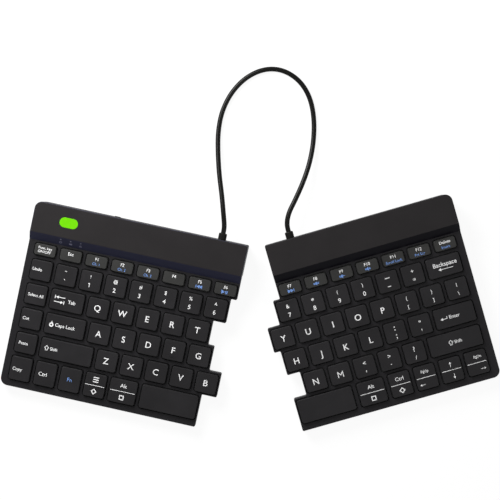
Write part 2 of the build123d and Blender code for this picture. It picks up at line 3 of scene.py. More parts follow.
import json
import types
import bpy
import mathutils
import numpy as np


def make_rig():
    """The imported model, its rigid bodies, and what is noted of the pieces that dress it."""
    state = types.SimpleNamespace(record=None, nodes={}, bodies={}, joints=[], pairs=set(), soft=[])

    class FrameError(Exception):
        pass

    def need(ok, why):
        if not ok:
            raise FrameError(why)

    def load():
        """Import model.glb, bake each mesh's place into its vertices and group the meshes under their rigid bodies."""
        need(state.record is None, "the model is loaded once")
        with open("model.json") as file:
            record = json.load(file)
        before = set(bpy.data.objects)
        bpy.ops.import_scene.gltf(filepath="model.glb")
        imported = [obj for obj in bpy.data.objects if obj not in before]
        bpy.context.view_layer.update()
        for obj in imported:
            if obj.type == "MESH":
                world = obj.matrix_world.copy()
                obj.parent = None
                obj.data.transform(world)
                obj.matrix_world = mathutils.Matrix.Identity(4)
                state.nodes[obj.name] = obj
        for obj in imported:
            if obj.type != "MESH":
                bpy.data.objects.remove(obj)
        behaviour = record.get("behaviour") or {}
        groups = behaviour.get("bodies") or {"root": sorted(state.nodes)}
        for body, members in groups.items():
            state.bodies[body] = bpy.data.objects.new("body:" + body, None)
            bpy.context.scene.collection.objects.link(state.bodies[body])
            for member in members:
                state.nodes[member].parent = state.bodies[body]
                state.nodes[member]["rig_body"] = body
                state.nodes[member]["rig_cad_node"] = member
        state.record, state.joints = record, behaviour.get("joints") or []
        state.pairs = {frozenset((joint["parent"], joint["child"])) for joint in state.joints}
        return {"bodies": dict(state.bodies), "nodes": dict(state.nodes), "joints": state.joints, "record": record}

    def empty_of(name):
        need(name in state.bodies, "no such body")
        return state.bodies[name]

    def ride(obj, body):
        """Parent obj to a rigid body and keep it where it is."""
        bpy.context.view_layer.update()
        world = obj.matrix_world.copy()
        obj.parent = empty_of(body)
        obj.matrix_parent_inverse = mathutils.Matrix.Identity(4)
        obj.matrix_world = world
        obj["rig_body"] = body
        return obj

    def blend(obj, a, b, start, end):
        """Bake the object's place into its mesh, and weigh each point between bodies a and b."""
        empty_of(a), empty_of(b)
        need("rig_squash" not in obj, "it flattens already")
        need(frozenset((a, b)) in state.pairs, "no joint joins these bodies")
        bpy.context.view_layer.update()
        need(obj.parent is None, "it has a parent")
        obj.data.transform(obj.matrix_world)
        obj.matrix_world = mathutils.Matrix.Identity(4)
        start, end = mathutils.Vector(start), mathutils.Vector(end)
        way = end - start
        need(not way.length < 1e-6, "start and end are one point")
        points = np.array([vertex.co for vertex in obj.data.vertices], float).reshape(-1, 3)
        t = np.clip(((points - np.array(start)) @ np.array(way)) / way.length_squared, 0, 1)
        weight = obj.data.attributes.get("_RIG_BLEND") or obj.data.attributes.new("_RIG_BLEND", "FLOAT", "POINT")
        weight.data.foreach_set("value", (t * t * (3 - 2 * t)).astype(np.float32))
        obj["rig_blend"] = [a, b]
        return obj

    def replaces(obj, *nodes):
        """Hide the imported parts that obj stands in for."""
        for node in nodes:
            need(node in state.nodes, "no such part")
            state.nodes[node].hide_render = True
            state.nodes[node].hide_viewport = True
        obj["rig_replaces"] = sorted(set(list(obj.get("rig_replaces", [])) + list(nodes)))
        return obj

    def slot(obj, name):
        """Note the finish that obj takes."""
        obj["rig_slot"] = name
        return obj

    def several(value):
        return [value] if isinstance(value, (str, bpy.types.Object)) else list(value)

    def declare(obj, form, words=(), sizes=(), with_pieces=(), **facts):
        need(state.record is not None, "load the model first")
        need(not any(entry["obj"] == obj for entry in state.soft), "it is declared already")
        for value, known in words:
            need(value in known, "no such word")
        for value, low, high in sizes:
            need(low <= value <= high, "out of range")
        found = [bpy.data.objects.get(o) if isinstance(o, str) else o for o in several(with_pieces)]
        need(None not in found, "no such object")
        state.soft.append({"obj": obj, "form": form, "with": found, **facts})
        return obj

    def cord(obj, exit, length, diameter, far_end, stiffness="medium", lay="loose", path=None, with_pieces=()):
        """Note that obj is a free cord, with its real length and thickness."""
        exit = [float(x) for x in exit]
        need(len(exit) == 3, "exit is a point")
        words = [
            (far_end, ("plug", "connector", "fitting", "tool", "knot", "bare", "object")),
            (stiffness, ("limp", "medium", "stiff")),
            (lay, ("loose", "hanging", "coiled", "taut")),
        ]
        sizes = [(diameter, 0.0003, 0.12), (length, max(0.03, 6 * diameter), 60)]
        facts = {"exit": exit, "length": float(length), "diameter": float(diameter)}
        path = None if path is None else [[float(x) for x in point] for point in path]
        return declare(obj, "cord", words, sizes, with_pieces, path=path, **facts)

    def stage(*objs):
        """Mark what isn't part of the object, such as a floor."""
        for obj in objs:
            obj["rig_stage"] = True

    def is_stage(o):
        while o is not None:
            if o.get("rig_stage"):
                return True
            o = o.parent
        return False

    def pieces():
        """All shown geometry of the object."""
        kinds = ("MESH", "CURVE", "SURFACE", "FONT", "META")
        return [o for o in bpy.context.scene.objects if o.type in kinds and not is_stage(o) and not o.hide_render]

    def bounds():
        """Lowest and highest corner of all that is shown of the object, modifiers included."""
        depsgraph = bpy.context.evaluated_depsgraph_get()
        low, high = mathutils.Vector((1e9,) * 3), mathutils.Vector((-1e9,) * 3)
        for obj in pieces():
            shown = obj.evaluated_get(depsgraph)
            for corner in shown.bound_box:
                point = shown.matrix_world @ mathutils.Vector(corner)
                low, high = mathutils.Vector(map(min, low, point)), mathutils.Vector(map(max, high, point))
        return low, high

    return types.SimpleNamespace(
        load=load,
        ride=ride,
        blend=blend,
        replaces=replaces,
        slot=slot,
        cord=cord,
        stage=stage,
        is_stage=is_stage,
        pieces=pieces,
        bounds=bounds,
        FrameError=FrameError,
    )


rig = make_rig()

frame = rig.load()

import json
import logging
import math
from dataclasses import dataclass, field, replace
from enum import Enum

import bpy
from mathutils import Matrix, Vector

SOLID_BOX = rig.bounds()
SIZE_FILE = "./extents.json"
MM = 0.001
MERGE_DISTANCE = 0.001 * MM

log = logging.getLogger("keyboard")

Point2 = tuple[float, float]
Point3 = tuple[float, float, float]
Colour = tuple[float, float, float]


class Grain(Enum):
    """Surface grain of a moulded or printed finish."""

    FINE = "fine"
    SATIN = "satin"
    SMOOTH = "smooth"


class Sign(Enum):
    """Signs that a key can carry besides words."""

    WORD = "word"
    ONE = "figure one with a flag"
    DASH = "short level stroke"
    PEAKS = "letter M of straight strokes"
    SYMBOL = "symbol"
    LINE = "line"
    LEFT = "left arrow"
    RIGHT = "right arrow"
    UP = "up arrow"
    DOWN = "down arrow"
    LONG_LEFT = "long left arrow"
    TAB = "tab arrows"
    SHIFT = "shift arrow"
    LOCK = "drop with an open middle"
    ENTER = "enter arrow"
    MENU = "three bars"
    DIAMOND = "diamond"
    SQUARE = "square"
    PREVIOUS = "previous track"
    PLAY = "play and pause"
    NEXT = "next track"
    MUTE = "speaker off"
    QUIETER = "speaker and minus"
    LOUDER = "speaker and plus"


def deselect_all() -> None:
    """Leave nothing selected, so that the next operator acts on the new piece alone."""
    bpy.ops.object.select_all(action="DESELECT")


def select_only(pieces: list[bpy.types.Object]) -> None:
    """Select some objects and make the first one active.

    Args:
        pieces: the objects to select.
    """
    deselect_all()
    for piece in pieces:
        piece.select_set(True)
    bpy.context.view_layer.objects.active = pieces[0]


def joined(pieces: list[bpy.types.Object], name: str) -> bpy.types.Object:
    """Join several meshes into one piece and merge its doubled points.

    Args:
        pieces: mesh objects whose places are in their meshes.
        name: the name of the piece.

    Returns:
        The joined object.
    """
    select_only(pieces)
    if len(pieces) > 1:
        bpy.ops.object.join()
    piece = bpy.context.view_layer.objects.active
    piece.name = name
    piece.data.name = name
    bpy.ops.object.mode_set(mode="EDIT")
    bpy.ops.mesh.select_all(action="SELECT")
    bpy.ops.mesh.remove_doubles(threshold=MERGE_DISTANCE)
    bpy.ops.mesh.normals_make_consistent(inside=False)
    bpy.ops.object.mode_set(mode="OBJECT")
    return piece


def dress(piece: bpy.types.Object, material: bpy.types.Material) -> None:
    """Give a piece one material.

    Args:
        piece: the object to dress.
        material: its new material.
    """
    piece.data.materials.clear()
    piece.data.materials.append(material)


class Nodes:
    """Short ways to add and link the nodes of one material."""

    noise_range = (0.3, 0.7)
    tone_stops = (0.35, 0.65)
    painted_light_blend = 0.02

    def __init__(self, name: str) -> None:
        """Start a node material with a Principled shader.

        Args:
            name: the material's name.
        """
        self.material = bpy.data.materials.new(name)
        self.material.use_nodes = True
        self.tree = self.material.node_tree
        self.shader = self.tree.nodes["Principled BSDF"]

    def add(self, kind: str, **sockets: object) -> bpy.types.Node:
        """Add a node and set its input values by name.

        Args:
            kind: the node's type.
            sockets: values of its inputs, with spaces written as underscores.

        Returns:
            The new node.
        """
        node = self.tree.nodes.new(kind)
        for name, value in sockets.items():
            node.inputs[name.replace("_", " ")].default_value = value
        return node

    def link(self, source: bpy.types.NodeSocket, target: bpy.types.NodeSocket) -> None:
        """Link an output to an input.

        Args:
            source: the output.
            target: the input.
        """
        self.tree.links.new(source, target)

    def place(self) -> bpy.types.NodeSocket:
        """Object coordinates of the surface.

        Returns:
            The coordinates.
        """
        return self.add("ShaderNodeTexCoord").outputs["Object"]

    def noise(self, scale: float, detail: float = 2.0, roughness: float = 0.5) -> bpy.types.Node:
        """Noise on object coordinates.

        Args:
            scale: cells per metre.
            detail: octaves of the noise.
            roughness: weight of the finer octaves.

        Returns:
            The noise node.
        """
        node = self.add("ShaderNodeTexNoise", Scale=scale, Detail=detail, Roughness=roughness)
        self.link(self.place(), node.inputs["Vector"])
        return node

    def spread(self, source: bpy.types.NodeSocket, low: float, high: float) -> bpy.types.NodeSocket:
        """Map noise from its usual range to another one.

        Args:
            source: the noise value.
            low: value at the noise's low end.
            high: value at the noise's high end.

        Returns:
            The mapped value.
        """
        least, most = self.noise_range
        node = self.add("ShaderNodeMapRange", From_Min=least, From_Max=most, To_Min=low, To_Max=high)
        self.link(source, node.inputs["Value"])
        return node.outputs["Result"]

    def facing_up(self) -> bpy.types.NodeSocket:
        """How far the surface faces up, from 0 on a wall to 1 on a level top.

        Returns:
            The upward part of the normal.
        """
        parts = self.add("ShaderNodeSeparateXYZ")
        self.link(self.add("ShaderNodeTexCoord").outputs["Normal"], parts.inputs["Vector"])
        return parts.outputs["Z"]

    def sloped(self, low: float, high: float, colour: Colour) -> None:
        """Paint a colour that stands in for light and shade onto the faces whose slope lies between two levels.

        Args:
            low: least upward part of the normal.
            high: greatest upward part of the normal.
            colour: the painted colour there, standing in for light and shade.
        """
        base = self.shader.inputs["Base Color"]
        under = base.links[0].from_socket
        ramp = self.add("ShaderNodeValToRGB")
        edge = self.painted_light_blend
        for position, value in ((low - edge, 0), (low, 1), (high, 1), (high + edge, 0)):
            stop = ramp.color_ramp.elements.new(position)
            stop.color = (value, value, value, 1)
        ramp.color_ramp.elements.remove(ramp.color_ramp.elements[-1])
        ramp.color_ramp.elements[0].color = (0, 0, 0, 1)
        self.link(self.facing_up(), ramp.inputs["Fac"])
        mix = self.add("ShaderNodeMix")
        mix.data_type = "RGBA"
        self.link(ramp.outputs["Color"], mix.inputs["Factor"])
        self.link(under, mix.inputs["A"])
        mix.inputs["B"].default_value = (*colour, 1)
        self.link(mix.outputs["Result"], base)

    def tint(self, source: bpy.types.NodeSocket, dark: Colour, light: Colour) -> None:
        """Colour the shader between two tones by a value.

        Args:
            source: the value.
            dark: the tone at its low end.
            light: the tone at its high end.
        """
        ramp = self.add("ShaderNodeValToRGB")
        for stop, place, tone in zip(ramp.color_ramp.elements, self.tone_stops, (dark, light)):
            stop.position = place
            stop.color = (*tone, 1)
        self.link(source, ramp.inputs["Fac"])
        self.link(ramp.outputs["Color"], self.shader.inputs["Base Color"])

    def bump(self, source: bpy.types.NodeSocket, depth: float, strength: float = 1.0) -> None:
        """Raise the surface by a height map.

        Args:
            source: the height, from 0 to 1.
            depth: the height's full depth in metres.
            strength: share of the effect.
        """
        node = self.add("ShaderNodeBump", Strength=strength, Distance=depth)
        self.link(source, node.inputs["Height"])
        self.link(node.outputs["Normal"], self.shader.inputs["Normal"])


def toned(colour: Colour, share: float) -> Colour:
    """A colour made darker or lighter.

    Args:
        colour: the colour.
        share: what its parts are multiplied by.

    Returns:
        The new colour.
    """
    return tuple(part * share for part in colour)


GRAINS = {Grain.FINE: (4200, 0.012 * MM), Grain.SATIN: (6500, 0.005 * MM), Grain.SMOOTH: (900, 0.003 * MM)}


@dataclass(frozen=True)
class MouldedPlastic:
    """Plastic or rubber with a moulded grain, faint clouding and an uneven sheen, and painted light and shade on its
    sloped faces where a slope colour is given.
    """

    name: str
    colour: Colour
    roughness: float
    grain: Grain
    clouding: float = 0.10
    specular: float = 0.5
    coat: float = 0.0
    # Colour painted on the faces that tilt between two levels: painted light and shade, not a colour of the plastic.
    slope: Colour | None = None
    painted_light_levels: tuple[float, float] = (0.60, 0.88)
    cloud_cells: float = 45
    sheen_cells: float = 140
    sheen_span: float = 0.05
    coat_roughness: float = 0.2
    octave_weight: float = 0.6

    def make(self) -> bpy.types.Material:
        """Build the material.

        Returns:
            The node material.
        """
        nodes = Nodes(self.name)
        clouds = nodes.noise(self.cloud_cells, 3)
        dark, light = toned(self.colour, 1 - self.clouding), toned(self.colour, 1 + self.clouding)
        nodes.tint(clouds.outputs["Fac"], dark, light)
        # Paint light and shade onto the sloped faces.
        if self.slope:
            nodes.sloped(*self.painted_light_levels, self.slope)
        handled = nodes.noise(self.sheen_cells, 4, self.octave_weight)
        span = self.sheen_span
        uneven = nodes.spread(handled.outputs["Fac"], self.roughness - span, self.roughness + span)
        nodes.link(uneven, nodes.shader.inputs["Roughness"])
        nodes.shader.inputs["Specular IOR Level"].default_value = self.specular
        nodes.shader.inputs["Coat Weight"].default_value = self.coat
        nodes.shader.inputs["Coat Roughness"].default_value = self.coat_roughness
        cells, depth = GRAINS[self.grain]
        nodes.bump(nodes.noise(cells, 3, self.octave_weight).outputs["Fac"], depth)
        return nodes.material


@dataclass(frozen=True)
class Metal:
    """Sheet, screw or shell metal with fine drawn lines."""

    name: str
    colour: Colour
    roughness: float
    line_cells: Point3 = (40, 900, 900)
    line_scale: float = 4.0
    line_octaves: float = 3.0
    dark_share: float = 0.85
    sheen_span: float = 0.12
    depth: float = 0.004 * MM

    def make(self) -> bpy.types.Material:
        """Build the material.

        Returns:
            The node material.
        """
        nodes = Nodes(self.name)
        stretch = nodes.add("ShaderNodeMapping")
        stretch.inputs["Scale"].default_value = self.line_cells
        nodes.link(nodes.place(), stretch.inputs["Vector"])
        lines = nodes.add("ShaderNodeTexNoise", Scale=self.line_scale, Detail=self.line_octaves)
        nodes.link(stretch.outputs["Vector"], lines.inputs["Vector"])
        nodes.tint(lines.outputs["Fac"], toned(self.colour, self.dark_share), self.colour)
        drawn = nodes.spread(lines.outputs["Fac"], self.roughness, self.roughness + self.sheen_span)
        nodes.link(drawn, nodes.shader.inputs["Roughness"])
        nodes.shader.inputs["Metallic"].default_value = 1.0
        nodes.bump(lines.outputs["Fac"], self.depth)
        return nodes.material


@dataclass(frozen=True)
class Print:
    """Printed legend ink, slightly uneven and a little worn."""

    name: str
    colour: Colour
    roughness: tuple[float, float] = (0.5, 0.7)
    speckle_cells: float = 1800
    dark_share: float = 0.88
    depth: float = 0.003 * MM

    def make(self) -> bpy.types.Material:
        """Build the material.

        Returns:
            The node material.
        """
        nodes = Nodes(self.name)
        speckle = nodes.noise(self.speckle_cells, 3)
        nodes.tint(speckle.outputs["Fac"], toned(self.colour, self.dark_share), self.colour)
        nodes.link(nodes.spread(speckle.outputs["Fac"], *self.roughness), nodes.shader.inputs["Roughness"])
        nodes.bump(speckle.outputs["Fac"], self.depth)
        return nodes.material


@dataclass(frozen=True)
class Lens:
    """Lit window that glows in its own colour, with a soft moulded ripple."""

    name: str
    colour: Colour
    glow: float
    roughness: float = 0.3
    specular: float = 0.15
    ripple_cells: float = 260
    dark_share: float = 0.9
    depth: float = 0.006 * MM

    def make(self) -> bpy.types.Material:
        """Build the material.

        Returns:
            The node material.
        """
        nodes = Nodes(self.name)
        ripple = nodes.noise(self.ripple_cells, 2)
        nodes.tint(ripple.outputs["Fac"], toned(self.colour, self.dark_share), self.colour)
        nodes.shader.inputs["Emission Color"].default_value = (*self.colour, 1)
        nodes.shader.inputs["Emission Strength"].default_value = self.glow
        nodes.shader.inputs["Roughness"].default_value = self.roughness
        nodes.shader.inputs["Specular IOR Level"].default_value = self.specular
        nodes.bump(ripple.outputs["Fac"], self.depth)
        return nodes.material


# Colours painted on sloped faces by their tilt: painted light on the left bar's band (lighter, bluish), painted shade
# on the right bar's band (near black) and painted shade on the caps' rounded edges.
PAINTED_LIT_BAND = (0.0245, 0.0255, 0.0490)
PAINTED_SHADED_BAND = (0.0015, 0.0012, 0.0030)
PAINTED_CAP_EDGE_SHADE = (0.0160, 0.0155, 0.0160)

HOUSING = MouldedPlastic("housing_plastic", (0.0135, 0.0128, 0.0142), 0.50, Grain.FINE, specular=0.10)
# The two bars are the same plastic; only the painted light and shade on their sloped bands differ.
LEFT_BAR = MouldedPlastic(
    "left_bar_plastic", (0.0172, 0.0156, 0.0162), 0.50, Grain.FINE, 0.06, 0.10, slope=PAINTED_LIT_BAND
)
RIGHT_BAR = replace(LEFT_BAR, name="right_bar_plastic", slope=PAINTED_SHADED_BAND)
# The caps' rounded edges take a painted shade.
CAPS = MouldedPlastic(
    "cap_plastic", (0.0174, 0.0166, 0.0178), 0.45, Grain.SATIN, clouding=0.14, specular=0.10, slope=PAINTED_CAP_EDGE_SHADE
)
SHALLOW_CAPS = MouldedPlastic(
    "shallow_cap_plastic", (0.0335, 0.0333, 0.0322), 0.45, Grain.SATIN, specular=0.10, slope=PAINTED_CAP_EDGE_SHADE
)
FEET = MouldedPlastic("foot_rubber", (0.020, 0.020, 0.021), 0.75, Grain.SMOOTH)
GLAND = MouldedPlastic("gland_rubber", (0.0050, 0.0047, 0.0042), 0.42, Grain.SMOOTH, specular=0.10)
JACKET = MouldedPlastic("cable_jacket", (0.0016, 0.0015, 0.0010), 0.30, Grain.SMOOTH, specular=0.12)
KNOB = MouldedPlastic("knob_plastic", (0.030, 0.030, 0.031), 0.5, Grain.SATIN)
SMOKED = MouldedPlastic("smoked_lens", (0.150, 0.150, 0.220), 0.25, Grain.SMOOTH)
# The film is near black: partly its own dark colour and partly painted shade for the gaps between the caps.
FILM_AND_GAP_SHADE = MouldedPlastic("contact_film", (0.012, 0.014, 0.013), 0.5, Grain.SMOOTH)
SILICONE = MouldedPlastic("dome_silicone", (0.05, 0.05, 0.05), 0.6, Grain.SMOOTH)
NYLON = MouldedPlastic("link_nylon", (0.25, 0.25, 0.24), 0.5, Grain.SATIN)
MASK = MouldedPlastic("solder_mask", (0.010, 0.075, 0.030), 0.35, Grain.SMOOTH)
POUCH = Metal("cell_pouch", (0.42, 0.42, 0.44), 0.35)
# The plate's dark steel is partly painted shade for the gaps between the caps as well.
PLATE_AND_GAP_SHADE = Metal("support_steel", (0.10, 0.10, 0.11), 0.45)
SCREW = Metal("screw_steel", (0.12, 0.12, 0.13), 0.35)
SHELL = Metal("socket_shell", (0.62, 0.62, 0.63), 0.22)
WHITE_INK = Print("white_ink", (0.95, 0.95, 0.95))
BLUE_INK = Print("blue_ink", (0.15, 0.29, 0.66))
BAND_INK = Print("band_ink", (0.140, 0.140, 0.210))
LIME = Lens("lime_window", (0.10, 0.41, 0.0), 0.6)


@dataclass(frozen=True)
class Mark:
    """One printed mark: a word or a sign, its centre from the cap's centre and its height."""

    sign: Sign
    text: str
    at: Point2
    height: float
    ink: Print = WHITE_INK
    lead: bool = False


@dataclass(frozen=True)
class Deck:
    """Deck frame of one half: u to the right, v to the rear, w out of the deck, w = 0 at the key tops."""

    matrix: Matrix

    @classmethod
    def of(cls, node: str, joint: str, cap_width: float) -> "Deck":
        """Find a half's deck frame from the first cap of its number row.

        Args:
            node: the node that starts with that cap.
            joint: the joint that presses it, along the deck's normal.
            cap_width: the cap's width.

        Returns:
            The deck frame.
        """
        axis = next(Vector(j["axis"]) for j in frame["joints"] if j["name"] == joint)
        turn = math.atan2(axis.x, -axis.y)
        right = Vector((math.cos(turn), math.sin(turn), 0))
        rear = axis.cross(right)
        turned = Matrix((right, rear, axis)).transposed().to_4x4()
        deck = cls(turned)
        low, high = deck.box(node)
        start = Vector((low.x + cap_width / 2, (low.y + high.y) / 2, high.z))
        return cls(Matrix.Translation(turned @ start) @ turned)

    def box(self, node: str) -> tuple[Vector, Vector]:
        """Lowest and highest corner of a node in deck coordinates.

        Args:
            node: the node's name.

        Returns:
            The two corners.
        """
        back = self.matrix.inverted()
        points = [back @ vertex.co for vertex in frame["nodes"][node].data.vertices]
        low = Vector(min(point[i] for point in points) for i in range(3))
        high = Vector(max(point[i] for point in points) for i in range(3))
        return low, high


STROKE = 0.13
TRACK_STROKE = 1.2 * STROKE
FRAME_STROKE = 1.3 * STROKE
PAUSE_STROKE = 1.4 * STROKE
ROUND_SIDES = 24


@dataclass(frozen=True)
class Bar:
    """A straight stroke of a sign, in shares of the sign's height."""

    start: Point2
    end: Point2
    width: float = STROKE


@dataclass(frozen=True)
class Head:
    """A solid arrowhead of a sign, in shares of the sign's height, and the way it points in radians."""

    tip: Point2
    angle: float
    size: float


@dataclass(frozen=True)
class Ring:
    """A ring of a sign, in shares of the sign's height, and its turn in radians."""

    centre: Point2
    radius: float
    width: float
    sides: int = ROUND_SIDES
    turn: float = 0


Form = Bar | Head | Ring


def chain(*points: Point2) -> list[Form]:
    """Strokes from point to point.

    Args:
        points: the points in order.

    Returns:
        The strokes.
    """
    return [Bar(start, end) for start, end in zip(points, points[1:])]


def arrow(start: Point2, end: Point2, size: float, width: float = STROKE) -> list[Form]:
    """A shaft and its head.

    Args:
        start: foot of the shaft.
        end: the arrow's point.
        size: length of the head.
        width: width of the shaft.

    Returns:
        The shaft and the head.
    """
    angle = math.atan2(end[1] - start[1], end[0] - start[0])
    neck = (end[0] - size * math.cos(angle), end[1] - size * math.sin(angle))
    return [Bar(start, neck, width), Head(end, angle, size)]


SPEAKER = [Bar((-0.62, 0), (-0.40, 0), 0.40), Head((-0.68, 0), math.pi, 0.76)]
MINUS = [Bar((0.18, 0), (0.56, 0))]
SIGN_SHAPES: dict[Sign, list[Form]] = {
    Sign.ONE: chain((-0.26, 0.26), (0, 0.45), (0, -0.45)),
    Sign.PEAKS: chain((-0.40, -0.45), (-0.40, 0.45), (0, -0.12), (0.40, 0.45), (0.40, -0.45)),
    Sign.LEFT: arrow((0.75, 0), (-0.75, 0), 0.5),
    Sign.RIGHT: arrow((-0.75, 0), (0.75, 0), 0.5),
    Sign.UP: arrow((0, -0.5), (0, 0.5), 0.45),
    Sign.DOWN: arrow((0, 0.5), (0, -0.5), 0.45),
    Sign.LONG_LEFT: arrow((2.2, 0), (-2.2, 0), 0.8, TRACK_STROKE),
    Sign.TAB: (
        arrow((0.95, 0.45), (-0.75, 0.45), 0.5)
        + [Bar((-0.9, 0.15), (-0.9, 0.75))]
        + arrow((-0.95, -0.45), (0.75, -0.45), 0.5)
        + [Bar((0.9, -0.75), (0.9, -0.15))]
    ),
    Sign.SHIFT: chain(
        (-0.24, -0.5), (-0.24, 0), (-0.5, 0), (0, 0.5), (0.5, 0), (0.24, 0), (0.24, -0.5), (-0.24, -0.5)
    ),
    Sign.LOCK: [Ring((0, -0.10), 0.42, 0.24), Head((0, 0.66), math.pi / 2, 0.46)],
    Sign.ENTER: chain((0.7, 0.5), (0.7, 0)) + arrow((0.7, 0), (-0.9, 0), 0.6),
    Sign.MENU: [Bar((-0.42, level), (0.42, level), 0.16) for level in (-0.36, 0, 0.36)],
    Sign.DIAMOND: [Ring((0, 0), 0.55, FRAME_STROKE, 4)],
    Sign.SQUARE: [Ring((0, 0), 0.6, FRAME_STROKE, 4, math.pi / 4)],
    Sign.PREVIOUS: [
        Head((0, 0), math.pi, 0.7),
        Head((-0.62, 0), math.pi, 0.7),
        Bar((-0.74, -0.32), (-0.74, 0.32), TRACK_STROKE),
    ],
    Sign.NEXT: [
        Head((0, 0), 0, 0.7),
        Head((0.62, 0), 0, 0.7),
        Bar((0.74, -0.32), (0.74, 0.32), TRACK_STROKE),
    ],
    Sign.PLAY: [Head((-0.05, 0), 0, 0.8)]
    + [Bar((across, -0.3), (across, 0.3), PAUSE_STROKE) for across in (0.18, 0.48)],
    Sign.MUTE: SPEAKER + [Bar((0.16, -0.2), (0.52, 0.2)), Bar((0.16, 0.2), (0.52, -0.2))],
    Sign.QUIETER: SPEAKER + MINUS,
    Sign.LOUDER: SPEAKER + MINUS + [Bar((0.37, -0.2), (0.37, 0.2))],
}
LIGHT_SIGNS: tuple[list[Form], ...] = (
    [Ring((0, 0), 0.55, 0.22, 16)],
    [Bar((-0.45, 0), (0.45, 0), 0.7)],
    [Bar((-0.4, -0.2), (0.4, -0.2), 0.5), Ring((0, 0.1), 0.36, 0.16, 12)],
)


@dataclass
class SignMaker:
    """Makes printed signs as thin raised solids, centred on the origin of their plane."""

    thickness: float = 0.04 * MM
    sink: float = 0.01 * MM
    capital_share: float = 0.729
    bold_share: float = 0.013
    small_bold_share: float = 0.014
    small_word: float = 3.5 * MM
    dash_width: float = 0.55 * MM
    line_share: float = 0.435
    end_share: float = 0.5
    triangle_height: float = 1.5
    parts: list[bpy.types.Object] = field(default_factory=list)

    def raise_sheet(self) -> None:
        """Thicken the flat sheet that was just added into a closed solid and keep it."""
        sheet = bpy.context.view_layer.objects.active
        bpy.ops.object.transform_apply(location=True, rotation=True, scale=True)
        bpy.ops.object.mode_set(mode="EDIT")
        bpy.ops.mesh.select_all(action="SELECT")
        bpy.ops.mesh.extrude_region_move(TRANSFORM_OT_translate={"value": (0, 0, self.thickness)})
        bpy.ops.mesh.select_all(action="SELECT")
        bpy.ops.mesh.normals_make_consistent(inside=False)
        bpy.ops.transform.translate(value=(0, 0, -self.sink))
        bpy.ops.object.mode_set(mode="OBJECT")
        self.parts.append(sheet)

    def bar(self, start: Point2, end: Point2, width: float) -> None:
        """Add a straight stroke.

        Args:
            start: its first end.
            end: its other end.
            width: its width.
        """
        run = Vector((end[0] - start[0], end[1] - start[1]))
        deselect_all()
        bpy.ops.mesh.primitive_plane_add(
            size=1,
            location=((start[0] + end[0]) / 2, (start[1] + end[1]) / 2, 0),
            rotation=(0, 0, math.atan2(run.y, run.x)),
        )
        bpy.context.view_layer.objects.active.scale = (run.length + width * self.end_share, width, 1)
        self.raise_sheet()

    def head(self, tip: Point2, angle: float, size: float) -> None:
        """Add a solid arrowhead.

        Args:
            tip: its point.
            angle: the way it points, in radians.
            size: its length.
        """
        radius = size / self.triangle_height
        centre = (tip[0] - radius * math.cos(angle), tip[1] - radius * math.sin(angle), 0)
        deselect_all()
        bpy.ops.mesh.primitive_circle_add(
            vertices=3, radius=radius, fill_type="NGON", location=centre, rotation=(0, 0, angle - math.pi / 2)
        )
        self.raise_sheet()

    def ring(self, centre: Point2, radius: float, width: float, sides: int, turn: float) -> None:
        """Add a ring of even width.

        Args:
            centre: its centre.
            radius: its outer radius.
            width: its stroke.
            sides: how many sides it has.
            turn: its turn in radians.
        """
        deselect_all()
        bpy.ops.mesh.primitive_circle_add(
            vertices=sides, radius=radius, fill_type="NGON", location=(*centre, 0), rotation=(0, 0, turn)
        )
        bpy.ops.object.mode_set(mode="EDIT")
        bpy.ops.mesh.select_all(action="SELECT")
        bpy.ops.mesh.inset(thickness=width)
        bpy.ops.mesh.delete(type="FACE")
        bpy.ops.object.mode_set(mode="OBJECT")
        self.raise_sheet()

    def shape(self, forms: list[Form], size: float) -> None:
        """Add the strokes, heads and rings of a sign.

        Args:
            forms: its forms.
            size: its height.
        """
        for form in forms:
            match form:
                case Bar((x0, y0), (x1, y1), width):
                    self.bar((x0 * size, y0 * size), (x1 * size, y1 * size), width * size)
                case Head((x, y), angle, length):
                    self.head((x * size, y * size), angle, length * size)
                case Ring((x, y), radius, width, sides, turn):
                    self.ring((x * size, y * size), radius * size, width * size, sides, turn)

    def word(self, text: str, height: float, lead: bool, boxed: bool = False) -> None:
        """Add a word whose capitals have a height, centred, or starting at the origin.

        Args:
            text: the word.
            height: the height of its capitals.
            lead: True where the word starts at the origin.
            boxed: True where its own box is centred, and not its capitals.
        """
        deselect_all()
        bpy.ops.object.text_add(location=(0, 0, 0))
        piece = bpy.context.view_layer.objects.active
        piece.data.body = text
        piece.data.size = height / self.capital_share
        piece.data.extrude = self.thickness / 2
        share = self.bold_share if height > self.small_word else self.small_bold_share
        piece.data.offset = height * share
        piece.data.resolution_u = 4
        bpy.ops.object.convert(target="MESH")
        piece = bpy.context.view_layer.objects.active
        across = [vertex.co.x for vertex in piece.data.vertices]
        along = [vertex.co.y for vertex in piece.data.vertices]
        shift = -min(across) if lead else -(min(across) + max(across)) / 2
        drop = -(min(along) + max(along)) / 2 if boxed else -height / 2
        lift = self.thickness / 2 - self.sink
        piece.data.transform(Matrix.Translation((shift, drop, lift)))
        self.parts.append(piece)

    def draw(self, mark: Mark, cap_width: float) -> None:
        """Draw one mark about the origin.

        Args:
            mark: what to draw.
            cap_width: width of the cap, for the lines that run across it.
        """
        size = mark.height
        match mark.sign:
            case Sign.WORD | Sign.SYMBOL:
                self.word(mark.text, size, mark.lead, mark.sign is Sign.SYMBOL)
            case Sign.DASH:
                self.bar((-size / 2, 0), (size / 2, 0), self.dash_width)
            case Sign.LINE:
                half = cap_width * self.line_share
                self.bar((-half, 0), (half, 0), size)
            case _:
                self.shape(SIGN_SHAPES[mark.sign], size)

    def take(self, plane: Matrix) -> list[bpy.types.Object]:
        """Move the drawn parts to a plane and hand them over.

        Args:
            plane: where the origin of the drawing goes.

        Returns:
            The placed parts.
        """
        parts = self.parts
        for part in parts:
            part.data.transform(plane)
        self.parts = []
        return parts


